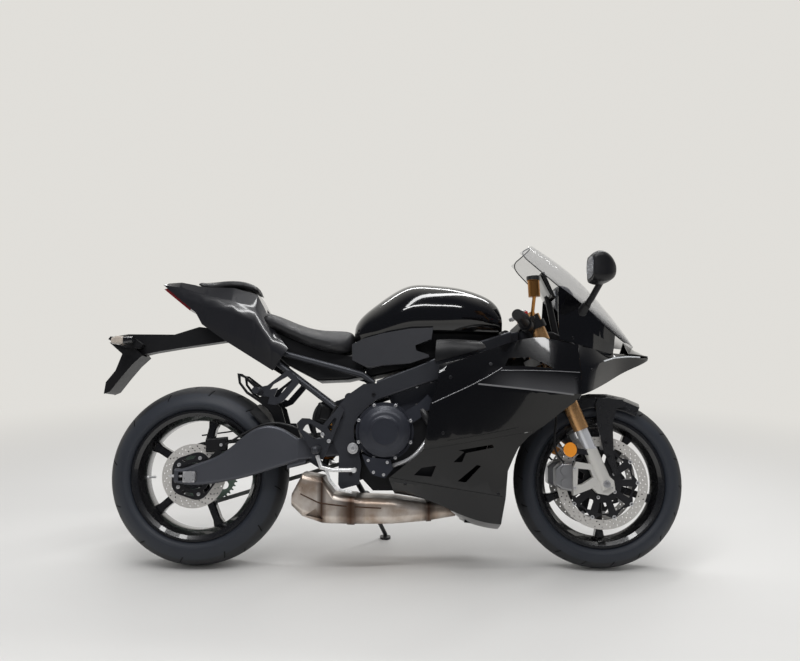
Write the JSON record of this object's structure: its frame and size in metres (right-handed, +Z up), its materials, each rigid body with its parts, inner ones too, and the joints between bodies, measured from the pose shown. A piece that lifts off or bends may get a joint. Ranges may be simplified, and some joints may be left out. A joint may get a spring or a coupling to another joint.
{
  "type": "sport motorcycle",
  "caption": "Faired sport motorcycle leaning on its side stand, with turning wheels, steering and a folding stand.",
  "frame": {"origin": "middle of the part's box, on the floor it stands on", "axes": "+X towards the front wheel, +Y to the rider's left, +Z up; the bike leans 11 degrees to its left onto the stand"},
  "size_m": [2.0678, 0.7375, 1.1429],
  "materials": {
    "tyre_rubber": "matt",
    "black_wheel": "satin",
    "disc_steel": "brushed",
    "green_steel": "satin",
    "frame_grey": "matt",
    "engine_black": "satin",
    "exhaust_steel": "heat tinted",
    "cast_silver": "cast",
    "gold_anodised": "anodised",
    "dark_alloy": "anodised",
    "axle_steel": "turned",
    "gloss_black": "gloss",
    "satin_black": "satin",
    "matte_grey": "matt",
    "seat_cover": "grained",
    "smoked_clear": "smoked",
    "lamp_lens": "clear",
    "amber_lens": "clear",
    "lamp_black": "gloss"
  },
  "bodies": {
    "root": {"main_frame": "frame_grey", "subframe": "frame_grey", "engine_block": "engine_black", "engine_covers": "engine_black", "exhaust_header": "exhaust_steel", "muffler": "exhaust_steel", "radiator": "dark_alloy", "fuel_tank": "gloss_black", "airbox": "satin_black", "tank_side_covers": "matte_grey", "seat": "seat_cover", "pillion_seat": "seat_cover", "tail_cowl": "gloss_black", "undertray": "satin_black", "plate_bracket": "satin_black", "rear_lamps": "lamp_lens", "swingarm": "frame_grey", "rear_axle": "axle_steel", "rear_guards": "satin_black", "rear_shock": "dark_alloy", "drive_chain": "axle_steel", "rear_caliper": "dark_alloy", "footrests": "frame_grey", "foot_controls": "cast_silver", "nose_cowl": "gloss_black", "side_fairings": "gloss_black", "lower_cowls": "satin_black", "windscreen": "smoked_clear", "mirrors": "satin_black", "display": "lamp_black", "headlamp": "lamp_black", "fairing_stay": "dark_alloy"},
    "front_wheel": {"front_tyre": "tyre_rubber", "front_rim": "black_wheel", "front_discs": "disc_steel"},
    "rear_wheel": {"rear_tyre": "tyre_rubber", "rear_rim": "black_wheel", "rear_disc": "disc_steel", "rear_sprocket": "green_steel"},
    "steering": {"fork_tubes": "gold_anodised", "fork_lowers": "cast_silver", "triple_clamps": "dark_alloy", "handlebars": "dark_alloy", "brake_reservoir": "satin_black", "front_fender": "satin_black", "front_calipers": "cast_silver", "front_axle": "axle_steel", "fork_reflectors": "amber_lens"},
    "stand": {"side_stand": "axle_steel"}
  },
  "joints": [
    {"name": "steering_turn", "type": "hinge", "parent": "root", "child": "steering", "pos_m": [0.5417, -0.04574, 0.67677], "axis": [-0.3843, 0.1762, 0.9062], "range_deg": [-26, 26]},
    {"name": "front_wheel_spin", "type": "hinge", "parent": "steering", "child": "front_wheel", "pos_m": [0.73405, -0.11978, 0.2959], "axis": [0, 0.9816, -0.1908], "continuous": true},
    {"name": "rear_wheel_spin", "type": "hinge", "parent": "root", "child": "rear_wheel", "pos_m": [-0.68595, -0.11679, 0.31123], "axis": [0, 0.9816, -0.1908], "continuous": true},
    {"name": "side_stand_swing", "type": "hinge", "parent": "root", "child": "stand", "pos_m": [-0.10095, 0.01506, 0.20342], "axis": [0, 0.9234, 0.384], "range_deg": [0, 95]}
  ]
}
